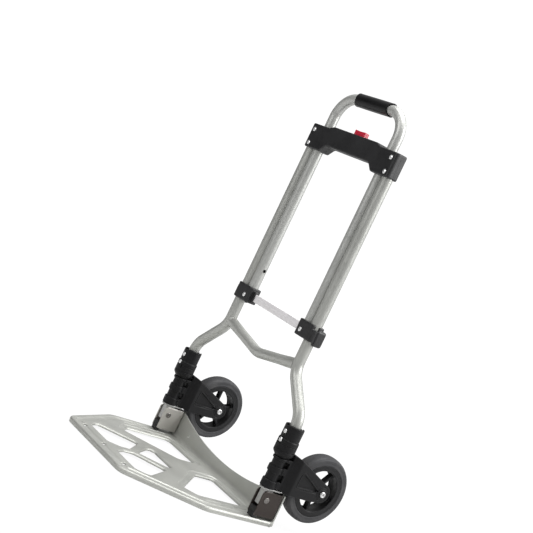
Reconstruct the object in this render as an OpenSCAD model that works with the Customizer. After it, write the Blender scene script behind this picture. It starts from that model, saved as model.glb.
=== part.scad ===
/* [Frame] */
// Half spacing of the outer frame tubes
tube_x = 118; // [100:1:130]
// Outer radius of the frame tubes
tube_r = 10.5; // [8:0.5:13]
// Bore radius of the frame tubes
tube_bore = 9; // [6:0.5:12]
// Half spacing of the wheel posts
post_x = 183; // [160:1:200]
// Height where the frame tube's upper line meets its slope
bend_top = 261; // [240:1:280]
// Centre line radius of the frame bends
bend_r = 42; // [30:1:50]
// Radius of the cross brace tube
brace_r = 9.5; // [6:0.5:10]
// Height of the brace's lowest point on its centre line
brace_z = 250; // [240:1:260]

/* [Handle] */
// Half spacing of the handle legs
leg_x = 96; // [85:1:105]
// Outer radius of the handle tube
leg_r = 10; // [8:0.5:12]
// Bore radius of the handle tube
leg_bore = 8.6; // [6:0.2:10]
// Height of the handle's top centre line
grip_z = 746; // [700:1:780]
// Corner radius of the handle's centre line
corner_r = 45; // [30:1:60]
// Outer radius of the foam grip
grip_r = 13; // [11:0.5:18]
// Height of the lower end of the handle legs
leg_low = 319; // [310:1:330]
// How far the handle rises between its lock holes
travel = 268; // [200:1:275]

/* [Top block] */
// Half width of the block
block_w = 131; // [120:1:140]
// Half depth of the block
block_d = 14; // [12:0.5:18]
// Underside of the block's end legs
block_low = 631; // [620:1:640]
// Top of the block's ends
block_high = 678; // [670:1:690]
// Radius of the block's upright edges
block_round = 8; // [4:0.5:12]
// Height of the lock pins
lock_z = 652; // [648:0.5:656]
// Radius of the lock holes
lock_r = 3.5; // [2.5:0.1:4]

/* [Lower clamps] */
// Underside of a clamp
clamp_low = 317.5; // [310:0.5:320]
// Height of a clamp
clamp_h = 30; // [24:0.5:36]
// Height of the cross bar
bar_h = 15; // [10:0.5:20]

/* [Wheels] */
// Wheel radius
wheel_r = 63.5; // [50:0.5:75]
// Tyre width
tyre_w = 28; // [20:1:34]
// Distance from the post's axis to the axle
axle_y = 103; // [98:1:110]
// Axle height
axle_z = 85; // [80:1:95]
// Axle radius
axle_r = 4; // [3:0.5:5]
// Half width over the fork arms
fork_w = 24; // [22:0.5:26]

/* [Nose plate] */
// Half width of the plate
plate_w = 194; // [180:1:200]
// Front edge of the plate
plate_front = -240.5; // [-260:0.5:-200]
// Top of the deck
deck_z = 9; // [7:0.5:12]
// Sheet thickness
sheet = 3; // [2:0.5:4]
// Fold axis, back from the tube axes
hinge_y = 4; // [0:0.5:8]
// Fold axis height
hinge_z = 44.5; // [40:0.5:50]

/* [Hidden] */
$fn = 64;
fit = 0.06;
turn = 45;
bend_low = bend_top - (post_x - tube_x);
tan_len = bend_r * tan(turn / 2);
slope_len = (post_x - tube_x) * sqrt(2) - 2 * tan_len;
back = 37;
lap = 0.4;
thin = 0.1;
post_r = 11.6;
foot_top = 65;
tube_top = 674;
tube_low = 136;
rivet_r = 2.2;
rivet_z = [639.5, 666.5];
collar_rivet_z = [152, 168];
clamp_rivet_z = 329;
ear_rivet_z = [24, 48];
bush_r = 11.3;
bar_z = 324;
bar_half = 85;
bar_t = 3;
hinge_r = 4;
strap_r = 4;
strap_x = 80;
strap_y = -219;
hub_r = 49;
ear_w = 10.5;
ear_t = 2.2;

function unit(v) = v / norm(v);
function left_of(a, b) = [-(b[1] - a[1]), b[0] - a[0]] / norm(b - a);
function at(p, i) = p[(i + len(p)) % len(p)];
function inset(p, d) = [for (i = [0:len(p) - 1])
    let (n = left_of(at(p, i - 1), p[i]), m = left_of(p[i], at(p, i + 1)))
    p[i] + (n + m) * d / (1 + n * m)];
function side(a, b, c) = (b[0] - a[0]) * (c[1] - b[1]) - (b[1] - a[1]) * (c[0] - b[0]) > 0 ? 1 : -1;
function fillet_at(a, b, c, r, n) = let (u = unit(a - b), v = unit(c - b), h = acos(u * v) / 2,
    o = b + unit(u + v) * r / sin(h), p = b + u * r / tan(h) - o, s = atan2(p[1], p[0]),
    w = side(a, b, c) * (180 - 2 * h))
    [for (k = [0:n]) o + r * [cos(s + w * k / n), sin(s + w * k / n)]];
function fillets(p, r, n) = [for (i = [0:len(p) - 1])
    each fillet_at(at(p, i - 1), p[i], at(p, i + 1), r[i], n)];

module both() {
    children();
    mirror([1, 0, 0]) children();
}

// Modules work from the tube axes; this puts the origin under the middle of the part
module place() {
    translate([0, back, 0]) children();
}

// A bar along X or Y
module rod_x(r, a, b) {
    translate([a, 0, 0]) rotate([0, 90, 0]) cylinder(r = r, h = b - a);
}

module rod_y(r, a, b) {
    translate([0, b, 0]) rotate([90, 0, 0]) cylinder(r = r, h = b - a);
}

// A tube bend in the XZ plane about the origin, from angle a through b degrees
module bend(radius, r, a, b) {
    rotate([90, 0, 0]) rotate([0, 0, a]) rotate_extrude(angle = b) translate([radius, 0])
        circle(r = r);
}

module frame_run(r, top) {
    high = bend_top + tan_len;
    low = bend_low - tan_len;
    translate([tube_x, 0, high]) {
        translate([0, 0, -lap]) cylinder(r = r, h = top - high + lap);
        translate([bend_r, 0, 0]) {
            bend(bend_r, r - thin, 180, turn);
            rotate([0, -turn, 0]) {
                translate([-bend_r, 0, -slope_len - lap]) cylinder(r = r, h = slope_len + 2 * lap);
                translate([-2 * bend_r, 0, -slope_len]) {
                    bend(bend_r, r - thin, -turn, turn);
                    rotate([0, turn, 0]) translate([bend_r, 0, tube_low - low])
                        cylinder(r = r, h = low - tube_low + lap);
                }
            }
        }
    }
}

module frame_tube() {
    color("silver") place() difference() {
        frame_run(tube_r, tube_top);
        frame_run(tube_bore, tube_top);
        for (z = rivet_z) translate([tube_x, 0, z]) rod_y(rivet_r, -20, 20);
        for (z = collar_rivet_z) translate([post_x, 0, z]) rod_y(rivet_r, -20, 0);
    }
}

module right_frame_tube() {
    frame_tube();
}

module left_frame_tube() {
    mirror([1, 0, 0]) frame_tube();
}

module brace_run(r) {
    rise = 11;
    curve = 60;
    translate([0, 0, brace_z + curve]) {
        bend(curve, r - thin, 270 - rise, 2 * rise);
        both() rotate([0, -rise, 0]) translate([-lap, 0, -curve]) rotate([0, 90, 0])
            cylinder(r = r, h = 108 + lap);
    }
}

module cross_brace() {
    color("silver") place() difference() {
        brace_run(brace_r);
        brace_run(brace_r - 1.4);
        both() frame_run(tube_r, 400);
    }
}

module block_shape() {
    intersection() {
        rotate([90, 0, 0]) linear_extrude(height = 60, center = true)
            polygon([[-block_w, block_low], [-79, block_low], [-67, block_low + 13.5],
                [67, block_low + 13.5], [79, block_low], [block_w, block_low],
                [block_w, block_high], [79, block_high], [67, block_high + 5],
                [-67, block_high + 5], [-79, block_high], [-block_w, block_high]]);
        linear_extrude(height = 800) polygon(fillets([[-block_w, -block_d], [block_w, -block_d],
            [block_w, block_d], [-block_w, block_d]], [8, 8, 8, 8] * block_round / 8, 8));
    }
}

module block_cuts() {
    both() {
        translate([tube_x, 0, 600]) cylinder(r = tube_r, h = tube_top - 600);
        translate([leg_x, 0, 600]) cylinder(r = bush_r, h = 100);
        for (z = rivet_z) translate([tube_x, 0, z]) rod_y(rivet_r, -20, 20);
        translate([24, -3.7, lock_z - 3.7]) cube([64, 7.4, 7.4]);
    }
    translate([-29, -7.5, block_low + 16.5]) cube([58, 15, 31]);
    translate([-15.5, -6.5, 660]) cube([31, 13, 40]);
}

module block_solid() {
    difference() {
        block_shape();
        block_cuts();
    }
}

module block_front() {
    color("#1b1b1d") place() intersection() {
        block_solid();
        translate([-200, -40, 600]) cube([400, 40, 120]);
    }
}

module block_rear() {
    color("#1b1b1d") place() intersection() {
        block_solid();
        translate([-200, 0, 600]) cube([400, 40, 120]);
    }
}

module guide_bush() {
    color("#2a2a2c") place() difference() {
        translate([leg_x, 0, block_low]) cylinder(r = bush_r, h = block_high - block_low);
        translate([leg_x, 0, 600]) cylinder(r = leg_r + fit, h = 100);
        translate([leg_x, 0, lock_z]) rod_x(lock_r, -20, 0);
    }
}

module right_guide_bush() {
    guide_bush();
}

module left_guide_bush() {
    mirror([1, 0, 0]) guide_bush();
}

// A domed rivet head on a shank along Y, its head towards -Y
module rivet(y, head, tall, shank, back) {
    ball = (head * head + tall * tall) / (2 * tall);
    intersection() {
        translate([0, y + ball - tall, 0]) sphere(r = ball);
        rod_y(head, y - tall, y);
    }
    rod_y(shank, y - 0.5, back);
}

module block_rivets() {
    color("white") place() both() for (z = rivet_z) translate([tube_x, 0, z]) {
        rivet(-block_d, 4.2, 1.6, rivet_r, block_d);
        mirror([0, 1, 0]) rivet(-block_d, 4.2, 1.6, rivet_r, -block_d + 1);
    }
}

module collar() {
    color("#1f1f21") place() difference() {
        translate([post_x, 0, 0]) rotate_extrude() polygon([[6, foot_top], [post_r, foot_top],
            [post_r, 123], [14, 124.5], [18.4, 129.5], [19, 131.5], [19, 154.5], [18, 155.5],
            [17.5, 157], [17.5, 179], [16.8, 180.5], [15.2, 180.5], [15.2, 176], [12.4, 176],
            [12.4, 180.5], [tube_r, 180.5], [tube_r, tube_low], [6, tube_low]]);
        for (z = collar_rivet_z) translate([post_x, 0, z]) {
            rod_y(rivet_r, -30, 0);
            rod_y(4.5, -30, z < 160 ? -18.8 : -17.3);
        }
    }
    color("#1f1f21") place() translate([post_x, 0, 176]) for (a = [30, 90, 210, 330])
        rotate([0, 0, a]) translate([12.2, -1, -0.5]) cube([3.2, 2, 4]);
}

module right_collar() {
    collar();
}

module left_collar() {
    mirror([1, 0, 0]) collar();
}

module collar_rivets() {
    color("white") place() both() {
        translate([post_x, 0, collar_rivet_z[0]]) rivet(-18.8, 4.3, 2, rivet_r, -8.5);
        translate([post_x, 0, collar_rivet_z[1]]) rivet(-17.3, 4.3, 2, rivet_r, -8.5);
    }
}

module foot() {
    color("#b9b9b5") place() difference() {
        union() {
            translate([post_x, 0, foot_top - 3]) linear_extrude(height = 3) intersection() {
                union() {
                    circle(r = 13);
                    translate([-13, 0]) square([26, 28]);
                }
                translate([-8.1, -20]) square([16.2, 40]);
            }
            translate([post_x - 6.7, -6, 33]) cube([13.4, 20, foot_top - 34.5]);
            translate([post_x, 0, foot_top - 1]) cylinder(r = 6, h = 28);
        }
        translate([post_x, hinge_y, hinge_z]) rod_x(hinge_r + fit, -20, 20);
    }
}

module right_foot() {
    foot();
}

module left_foot() {
    mirror([1, 0, 0]) foot();
}

module button_spring() {
    color("gray") place() translate([0, 0, block_low + 16.5]) linear_extrude(height = 22.4, twist = -1440,
        slices = 48) translate([2.5, 0]) circle(r = 0.7, $fn = 6);
}

module handle_run(r, low) {
    mid = leg_x - corner_r;
    high = grip_z - corner_r;
    both() {
        translate([leg_x, 0, low]) cylinder(r = r, h = high - low);
        translate([mid, 0, high]) bend(corner_r, r, 0, 90);
    }
    translate([0, 0, grip_z]) rod_x(r, -mid, mid);
}

module handle_tube() {
    color("silver") place() difference() {
        handle_run(leg_r, leg_low);
        handle_run(leg_bore, leg_low);
        both() for (z = [lock_z, lock_z - travel]) translate([leg_x, 0, z]) rod_x(lock_r, -20, 0);
        both() translate([leg_x, 0, clamp_rivet_z]) rod_y(rivet_r, -20, 0);
    }
}

module grip() {
    half = leg_x - corner_r;
    color("#161616") place() difference() {
        translate([-half, 0, grip_z]) rotate([0, 90, 0]) rotate_extrude() polygon([[leg_r, 0],
            [grip_r - 1, 0], [grip_r, 1], [grip_r, 2 * half - 1], [grip_r - 1, 2 * half],
            [leg_r, 2 * half]]);
        translate([0, 0, grip_z]) rod_x(leg_r, -80, 80);
    }
}

module clamp() {
    color("#1b1b1d") place() difference() {
        union() {
            translate([0, 0, clamp_low]) linear_extrude(height = clamp_h)
                polygon(fillets([[82.5, -13.5], [132, -13.5], [132, 13.5], [82.5, 13.5]],
                    [8, 11, 11, 8], 8));
            translate([0, 0, clamp_low - 5]) linear_extrude(height = clamp_h)
                polygon(fillets([[120, -3], [134.5, -3], [134.5, 18], [120, 18]],
                    [1, 3, 5, 3], 6));
            translate([76, -4.5, 320.5]) cube([12, 10, 22]);
        }
        translate([tube_x, 0, 300]) cylinder(r = tube_r + fit, h = 80);
        translate([leg_x, 0, leg_low]) cylinder(r = leg_r, h = 80);
        translate([leg_x, 0, clamp_rivet_z]) rod_y(rivet_r, -20, 0);
        translate([bar_half - 15, -bar_t / 2, bar_z]) cube([15, bar_t, bar_h]);
    }
}

module right_clamp() {
    clamp();
}

module left_clamp() {
    mirror([1, 0, 0]) clamp();
}

module crossbar() {
    color("#d8d8d6") place() translate([-bar_half, -bar_t / 2, bar_z]) cube([2 * bar_half, bar_t, bar_h]);
}

module clamp_rivets() {
    color("white") place() both() translate([leg_x, 0, clamp_rivet_z]) rivet(-13.5, 4.2, 1.5, rivet_r, -8);
}

module button() {
    color("#c8202c") place() union() {
        translate([0, 0, 670]) linear_extrude(height = 23) polygon(fillets([[-15, -6], [15, -6],
            [15, 6], [-15, 6]], [2, 2, 2, 2], 4));
        translate([-28, -7, 672]) cube([56, 14, 6]);
        both() rotate([90, 0, 0]) linear_extrude(height = 13, center = true)
            polygon([[14, 673], [14, 670], [24, 660], [28, 660], [28, 673]]);
    }
}

module lock_pin() {
    color("#c9c9c6") place() union() {
        translate([0, 0, lock_z]) rod_x(lock_r - 0.5, 25, 85.6);
        rotate([90, 0, 0]) linear_extrude(height = 12, center = true)
            polygon([[8, 648], [26, 648], [26, 657.5], [18.5, 665], [8, 665]]);
    }
}

module right_lock_pin() {
    lock_pin();
}

module left_lock_pin() {
    mirror([1, 0, 0]) lock_pin();
}

rim = [[-plate_w, 41], [-plate_w, -106], [-108, plate_front], [108, plate_front],
    [plate_w, -106], [plate_w, 41]];
rim_r = [6, 40, 25, 25, 40, 6];
rear_hole = [[34, 6], [34, -34], [118, -112], [140, -95], [140, 6]];
rear_hole_r = [8, 8, 8, 12, 10];
mid_hole = [[-50, -90], [0, -147], [50, -90]];
mid_hole_r = [10, 8, 10];
front_hole = [[9, -160], [9, -180], [20, -200], [92, -200], [108, -180], [56, -115]];
front_hole_r = [6, 8, 6, 8, 12, 8];

module hole_2d(d) {
    both() {
        polygon(fillets(inset(rear_hole, -d), [for (r = rear_hole_r) r + d], 5));
        polygon(fillets(inset(front_hole, -d), [for (r = front_hole_r) r + d], 5));
    }
    polygon(fillets(inset(mid_hole, -d), [for (r = mid_hole_r) r + d], 5));
}

module deck() {
    difference() {
        union() {
            translate([0, 0, deck_z - sheet]) linear_extrude(height = sheet)
                polygon(fillets(rim, rim_r, 8));
            linear_extrude(height = deck_z) difference() {
                polygon(fillets(rim, rim_r, 8));
                polygon(fillets(inset(rim, sheet), [for (r = rim_r) r - sheet], 8));
            }
            translate([0, 0, 3]) linear_extrude(height = deck_z - 3) hole_2d(2.5);
        }
        translate([0, 0, -1]) linear_extrude(height = 20) hole_2d(0);
        for (x = [-strap_x, 0, strap_x]) translate([x, strap_y, -1]) cylinder(r = strap_r, h = 20);
        both() translate([0, 0, deck_z - 1]) linear_extrude(height = 2)
            polygon([[150, 14], [150, -98], [112, -152], [116, -156], [158, -100], [158, 14]]);
        both() translate([post_x - 8.6, -9.5, deck_z - 0.5]) cube([17.2, 9.5, 5]);
    }
}

module flange() {
    difference() {
        union() {
            translate([-plate_w, 38, 0]) cube([2 * plate_w, sheet, 60]);
            translate([-plate_w, 33, deck_z - sheet]) cube([2 * plate_w, 6, 7]);
        }
        translate([0, 0, 32.5 + 581]) rotate([90, 0, 0])
            cylinder(r = 581, h = 100, center = true, $fn = 256);
        translate([0, 33, deck_z + 5]) rod_x(5, -250, 250);
        both() translate([129, 0, 26]) rod_y(1.6, 30, 50);
    }
}

module nose_plate() {
    color("#c9c7c2") place() difference() {
        union() {
            deck();
            flange();
        }
        both() for (z = ear_rivet_z) translate([post_x, 0, z]) rod_y(2, 30, 50);
    }
}

module bracket() {
    color("#a9a7a3") place() difference() {
        translate([post_x, 0, 0]) difference() {
            translate([0, 0, 14]) linear_extrude(height = 46) difference() {
                polygon(fillets([[-ear_w, -9], [ear_w, -9], [ear_w, 38], [-ear_w, 38]],
                    [0.5, 0.5, 4, 4], 4));
                polygon(fillets([[-ear_w + ear_t, -20], [ear_w - ear_t, -20],
                    [ear_w - ear_t, 38 - ear_t], [-ear_w + ear_t, 38 - ear_t]],
                    [0.5, 0.5, 2, 2], 4));
            }
            difference() {
                translate([-20, -10, 54]) cube([40, 6, 10]);
                translate([0, -4, 55]) rod_x(5, -30, 30);
            }
        }
        translate([post_x, hinge_y, hinge_z]) rod_x(hinge_r, -20, 20);
        for (z = ear_rivet_z) translate([post_x, 0, z]) rod_y(2, 30, 50);
    }
}

module right_bracket() {
    bracket();
}

module left_bracket() {
    mirror([1, 0, 0]) bracket();
}

module bracket_rivets() {
    color("silver") place() both() for (z = ear_rivet_z) translate([post_x, 0, z]) {
        rivet(38 - ear_t, 3.6, 1.4, 2, 41);
        mirror([0, 1, 0]) rivet(-41, 3.6, 1.4, 2, -40);
    }
}

module hinge_pins() {
    color("silver") place() both() translate([post_x, hinge_y, hinge_z]) {
        rod_x(hinge_r, -ear_w, ear_w);
        rod_x(5.5, ear_w, ear_w + 1.8);
        rod_x(5.5, -ear_w - 1.8, -ear_w);
    }
}

module stop_blocks() {
    color("#101010") place() both() translate([post_x - 8.1, -9, deck_z - 0.5])
        cube([16.2, 8.5, 19.5]);
}

module fork_plan() {
    polygon([[-10, 8], [10, 8], [11, 20], [fork_w, 32], [fork_w, 38], [-fork_w, 38],
        [-fork_w, 32], [-11, 20]]);
}

module fork_side() {
    tangent = [109.3, axle_z + 15.8];
    polygon([[19.8, 66.2], [axle_y - 20, 66.2], [axle_y, 68], [axle_y, axle_z], tangent,
        [32, 132], [26, 134], [19.8, 134]]);
    translate([axle_y, axle_z]) circle(r = 17);
}

module fork_neck() {
    difference() {
        union() {
            for (s = [[65.5, 14.5], [94, 12], [118, 4.8]]) translate([0, 0, s[0]])
                cylinder(r = 14, h = s[1]);
            translate([0, 0, 68]) linear_extrude(height = 54.8) intersection() {
                fork_plan();
                translate([-30, 0]) square([60, 20]);
            }
        }
        cylinder(r = post_r + fit, h = 200);
        for (s = [[80, 14], [106, 12]]) translate([-20, 0, s[0]]) cube([40, 16, s[1]]);
    }
}

module fork() {
    color("#1e1e20") place() translate([post_x, 0, 0]) difference() {
        union() {
            fork_neck();
            difference() {
                intersection() {
                    linear_extrude(height = 200) union() {
                        fork_plan();
                        translate([-fork_w, 37]) square([2 * fork_w, 100]);
                    }
                    rotate([90, 0, 90]) linear_extrude(height = 60, center = true) fork_side();
                }
                translate([-17, 36, 50]) cube([34, 100, 100]);
                for (s = [-1, 1]) scale([s, 1, 1]) translate([fork_w - 3, 0, 0])
                    rotate([90, 0, 90]) linear_extrude(height = 10)
                        polygon([[42, 87], [91, 87], [91, 90.5], [42, 110]]);
            }
            translate([0, axle_y, axle_z]) rod_x(8.5, fork_w - 3, fork_w + 0.8);
            translate([0, axle_y, axle_z]) rod_x(8.5, -fork_w - 0.8, 3 - fork_w);
        }
        translate([0, axle_y, axle_z]) rod_x(axle_r, -40, 40);
    }
}

module right_fork() {
    fork();
}

module left_fork() {
    mirror([1, 0, 0]) fork();
}

// The axle's head faces +X on both wheels
module axle(x) {
    color("silver") place() translate([x, axle_y, axle_z]) difference() {
        union() {
            rod_x(axle_r, -27.6, fork_w + 1);
            rod_x(5.7, fork_w + 0.8, fork_w + 4);
        }
        rod_x(2, fork_w + 2.4, fork_w + 9);
    }
}

module right_axle() {
    axle(post_x);
}

module left_axle() {
    axle(-post_x);
}

module axle_nut(x) {
    color("silver") place() translate([x, axle_y, axle_z]) difference() {
        rod_x(5.9, -fork_w - 4, -fork_w - 0.8);
        rod_x(axle_r, -40, 0);
    }
}

module right_axle_nut() {
    axle_nut(post_x);
}

module left_axle_nut() {
    axle_nut(-post_x);
}

module hub(x, first) {
    color("#19191b") place() translate([x, axle_y, axle_z]) difference() {
        union() {
            rod_x(11, -16, 16);
            difference() {
                rod_x(hub_r, -13, 13);
                rod_x(39.5, -20, 20);
            }
            for (k = [0:4]) rotate([first + 72 * k, 0, 0]) translate([-5.5, 5, -2.5])
                cube([11, 36, 5]);
        }
        rod_x(axle_r + fit, -40, 40);
    }
}

module right_hub() {
    hub(post_x, 270);
}

module left_hub() {
    hub(-post_x, 90);
}

module tyre(x) {
    w = tyre_w / 2;
    color("#2c2c2e") place() translate([x, axle_y, axle_z]) rotate([0, 90, 0]) rotate_extrude($fn = 96)
        polygon([[hub_r, -w + 1], [52, -w], [wheel_r - 6, -w], [wheel_r - 2.5, -w + 2],
            [wheel_r - 0.6, -w + 6], [wheel_r, -w + 11], [wheel_r, w - 11],
            [wheel_r - 0.6, w - 6], [wheel_r - 2.5, w - 2], [wheel_r - 6, w], [52, w],
            [hub_r, w - 1]]);
}

module right_tyre() {
    tyre(post_x);
}

module left_tyre() {
    tyre(-post_x);
}

left_frame_tube();
right_frame_tube();
cross_brace();
block_front();
block_rear();
left_guide_bush();
right_guide_bush();
block_rivets();
left_collar();
right_collar();
collar_rivets();
left_foot();
right_foot();
button_spring();
handle_tube();
grip();
left_clamp();
right_clamp();
crossbar();
clamp_rivets();
button();
left_lock_pin();
right_lock_pin();
nose_plate();
left_bracket();
right_bracket();
bracket_rivets();
hinge_pins();
stop_blocks();
left_fork();
right_fork();
left_axle();
right_axle();
left_axle_nut();
right_axle_nut();
left_hub();
right_hub();
left_tyre();
right_tyre();
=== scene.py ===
import math

import bmesh
import bpy
import numpy as np
from mathutils import Euler, Matrix, Vector


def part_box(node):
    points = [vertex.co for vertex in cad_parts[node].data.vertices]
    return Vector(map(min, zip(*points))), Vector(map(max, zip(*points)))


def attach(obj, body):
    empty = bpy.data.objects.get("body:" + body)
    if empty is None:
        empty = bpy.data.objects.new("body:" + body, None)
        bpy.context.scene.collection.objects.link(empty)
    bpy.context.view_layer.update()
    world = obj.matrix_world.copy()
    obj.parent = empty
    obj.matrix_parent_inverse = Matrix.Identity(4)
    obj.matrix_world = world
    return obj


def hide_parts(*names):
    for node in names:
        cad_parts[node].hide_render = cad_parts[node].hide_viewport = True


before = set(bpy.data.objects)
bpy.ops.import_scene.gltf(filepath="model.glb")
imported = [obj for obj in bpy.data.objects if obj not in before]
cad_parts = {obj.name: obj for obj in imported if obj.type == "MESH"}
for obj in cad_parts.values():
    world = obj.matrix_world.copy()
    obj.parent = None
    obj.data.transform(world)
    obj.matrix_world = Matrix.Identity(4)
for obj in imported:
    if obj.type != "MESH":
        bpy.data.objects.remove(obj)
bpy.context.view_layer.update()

# Shapes are worked out in millimetres from the upright tubes' axis plane, and set in place in metres.
MM = 0.001
BACK = sum(c.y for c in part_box("handle_tube")) / 2


def box_mm(node):
    """A CAD node's lowest and highest corners, in millimetres from the tubes' plane."""
    return [(np.array(c) - (0, BACK, 0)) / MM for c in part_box(node)]


# driving dimensions: the tubes' radii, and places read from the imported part
TUBE_R, TUBE_BORE = 10.5, 9.0
LEG_R, LEG_BORE = 10.0, 8.6
POST_X = float(sum(c[0] for c in box_mm("right_collar")) / 2)
LEG_X = float(sum(c[0] for c in box_mm("right_guide_bush")) / 2)
TUBE_X = float(box_mm("right_frame_tube")[0][0]) + TUBE_R
AXLE_Y, AXLE_Z = [float((a + b) / 2) for a, b in zip(*box_mm("right_hub"))][1:]
GRIP_Z = float(sum(c[2] for c in box_mm("grip")) / 2)
# how much coarser the meshes are made; 1.0 keeps them at full detail
FINE = 1.0


# ------ shapes as distance functions

def smax(a, b, r):
    """The larger of two distances, with the edge between them rounded."""
    h = np.clip(r - np.abs(a - b), 0, None) / r
    return np.maximum(a, b) + h * h * r / 4


def smin(a, b, r):
    """The smaller of two distances, with the corner between them filled."""
    return -smax(-a, -b, r)


def rbox(p, low, high, r):
    """A box with rounded edges."""
    low, high = np.array(low, float), np.array(high, float)
    q = np.abs(p - (low + high) / 2) - ((high - low) / 2 - r)
    return np.linalg.norm(np.maximum(q, 0), axis=1) + np.minimum(q.max(1), 0) - r


def rod(p, axis, centre, radius, a, b, r=0.6):
    """A cylinder along an axis, with rounded rims. centre is the point in the other two axes."""
    i, j = [k for k in range(3) if k != axis]
    rho = np.hypot(p[:, i] - centre[0], p[:, j] - centre[1]) - radius + r
    along = np.abs(p[:, axis] - (a + b) / 2) - (b - a) / 2 + r
    outer = np.hypot(np.maximum(rho, 0), np.maximum(along, 0))
    return outer + np.minimum(np.maximum(rho, along), 0) - r


def ease(t):
    """A smooth step from 0 to 1."""
    t = np.clip(t, 0, 1)
    return t * t * (3 - 2 * t)


def outline(x, y, points):
    """Signed distance to a polygon, negative inside."""
    best = np.full(x.shape, 1e12)
    sign = np.ones(x.shape)
    for k in range(len(points)):
        (ax, ay), (bx, by) = points[k], points[k - 1]
        ex, ey = bx - ax, by - ay
        wx, wy = x - ax, y - ay
        t = np.clip((wx * ex + wy * ey) / (ex * ex + ey * ey), 0, 1)
        best = np.minimum(best, (wx - ex * t) ** 2 + (wy - ey * t) ** 2)
        c1, c2, c3 = y >= ay, y < by, ex * wy > ey * wx
        sign = np.where((c1 & c2 & c3) | (~c1 & ~c2 & ~c3), -sign, sign)
    return sign * np.sqrt(best)


def slab(d, t, a, b, r):
    """A distance in a plane carried through from a to b, with rounded edges."""
    return smax(d, np.abs(t - (a + b) / 2) - (b - a) / 2, r)


def rounded(points, radii, step=8):
    """A polygon with each corner turned into an arc."""
    out, n = [], len(points)
    for i in range(n):
        a, b, c = (np.array(points[k % n], float) for k in (i - 1, i, i + 1))
        u, v = (a - b) / np.linalg.norm(a - b), (c - b) / np.linalg.norm(c - b)
        half = math.acos(np.clip(u @ v, -1, 1)) / 2
        m = (u + v) / np.linalg.norm(u + v)
        o = b + m * radii[i] / math.sin(half)
        p, q = b + u * radii[i] / math.tan(half) - o, b + v * radii[i] / math.tan(half) - o
        turn = math.atan2(p[0] * q[1] - p[1] * q[0], p @ q)
        k = max(2, int(abs(math.degrees(turn)) / step))
        for s in np.linspace(0, turn, k + 1):
            out.append((o[0] + p[0] * math.cos(s) - p[1] * math.sin(s),
                        o[1] + p[0] * math.sin(s) + p[1] * math.cos(s)))
    return out


def along_path(p, path):
    """Distance to a line of points."""
    best = np.full(len(p), 1e12)
    for a, b in zip(path[:-1], path[1:]):
        e = b - a
        w = p - a
        t = np.clip(w @ e / (e @ e), 0, 1)
        best = np.minimum(best, ((w - t[:, None] * e) ** 2).sum(1))
    return np.sqrt(best)


def sample_grid(f, low, high, cell):
    """f on a grid, worked out closely only near its surface."""
    low = np.array(low, float) - 1.5 * cell
    count = np.ceil((np.array(high) + 1.5 * cell - low) / cell).astype(int) + 1
    block = 4
    blocks = -(-count // block)
    centre = [(np.arange(n) + 0.5) * block * cell - cell / 2 + o for n, o in zip(blocks, low)]
    mid = np.stack(np.meshgrid(*centre, indexing="ij"), -1).reshape(-1, 3)
    coarse = f(mid).reshape(blocks)
    near = np.abs(coarse) < block * cell * 1.25
    full = coarse.repeat(block, 0).repeat(block, 1).repeat(block, 2)
    inner = np.stack(np.meshgrid(*[np.arange(block)] * 3, indexing="ij"), -1).reshape(1, -1, 3)
    ijk = (np.argwhere(near)[:, None, :] * block + inner).reshape(-1, 3)
    for part in np.array_split(ijk, max(1, len(ijk) // 400000)):
        full[part[:, 0], part[:, 1], part[:, 2]] = f(part * cell + low)
    return full, low


def settle(f, v, rounds=2):
    """Moves points onto the surface of f, and gives the surface's direction there."""
    e = 0.04
    for k in range(rounds + 1):
        d = f(v)
        g = np.stack([f(v + e * np.eye(3)[i]) - f(v - e * np.eye(3)[i]) for i in range(3)], 1) / (2 * e)
        size = np.maximum((g * g).sum(1), 0.3)
        if k < rounds:
            v = v - np.clip(d / size, -0.4, 0.4)[:, None] * g
    return v, g / np.maximum(np.linalg.norm(g, axis=1), 1e-9)[:, None]


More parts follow.
